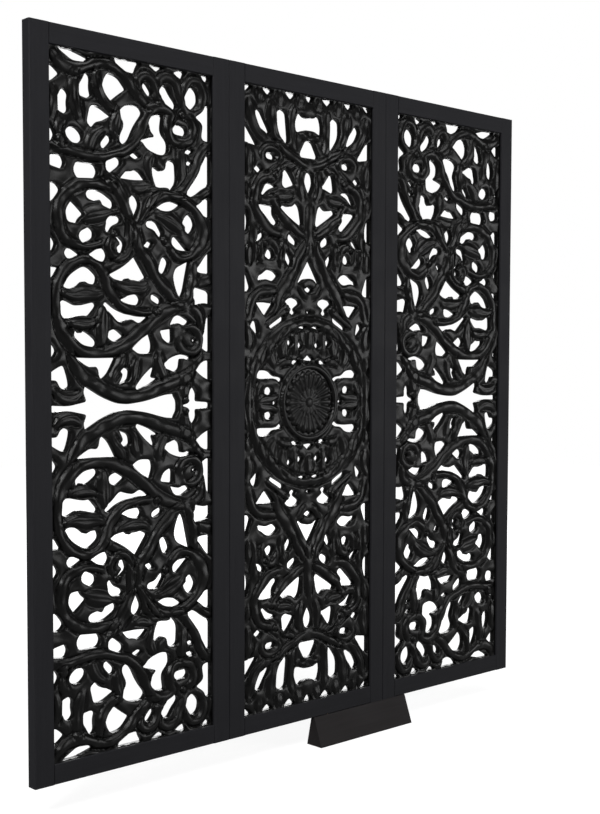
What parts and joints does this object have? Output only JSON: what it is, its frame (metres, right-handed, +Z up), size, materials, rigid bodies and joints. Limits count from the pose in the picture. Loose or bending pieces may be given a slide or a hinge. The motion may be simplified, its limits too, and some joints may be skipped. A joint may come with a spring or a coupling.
{
  "type": "carved wall panel",
  "caption": "Square black wooden wall panel of framed leaves side by side, each with a pierced scrollwork board, and a small wedge block under the bottom rail.",
  "frame": {"origin": "middle of the back face of the centre leaf's top rail, on the plane that lies against the wall", "axes": "+X to the right as seen from the front, +Y into the wall, +Z up"},
  "size_m": [1.1996, 0.04, 1.255],
  "materials": {
    "frame_wood": "satin black stain",
    "carved_wood": "satin black stain over carving",
    "foot_wood": "satin black",
    "dowel_wood": "bare"
  },
  "bodies": {
    "root": {"left_leaf_left_stile": "frame_wood", "left_leaf_right_stile": "frame_wood", "left_leaf_top_rail": "frame_wood", "left_leaf_bottom_rail": "frame_wood", "left_leaf_fretwork": "carved_wood", "centre_leaf_left_stile": "frame_wood", "centre_leaf_right_stile": "frame_wood", "centre_leaf_top_rail": "frame_wood", "centre_leaf_bottom_rail": "frame_wood", "centre_leaf_fretwork": "carved_wood", "right_leaf_left_stile": "frame_wood", "right_leaf_right_stile": "frame_wood", "right_leaf_top_rail": "frame_wood", "right_leaf_bottom_rail": "frame_wood", "right_leaf_fretwork": "carved_wood", "left_seam_dowel_1": "dowel_wood", "left_seam_dowel_2": "dowel_wood", "left_seam_dowel_3": "dowel_wood", "right_seam_dowel_1": "dowel_wood", "right_seam_dowel_2": "dowel_wood", "right_seam_dowel_3": "dowel_wood", "foot_block": "foot_wood", "foot_dowel_1": "dowel_wood", "foot_dowel_2": "dowel_wood"}
  },
  "joints": []
}
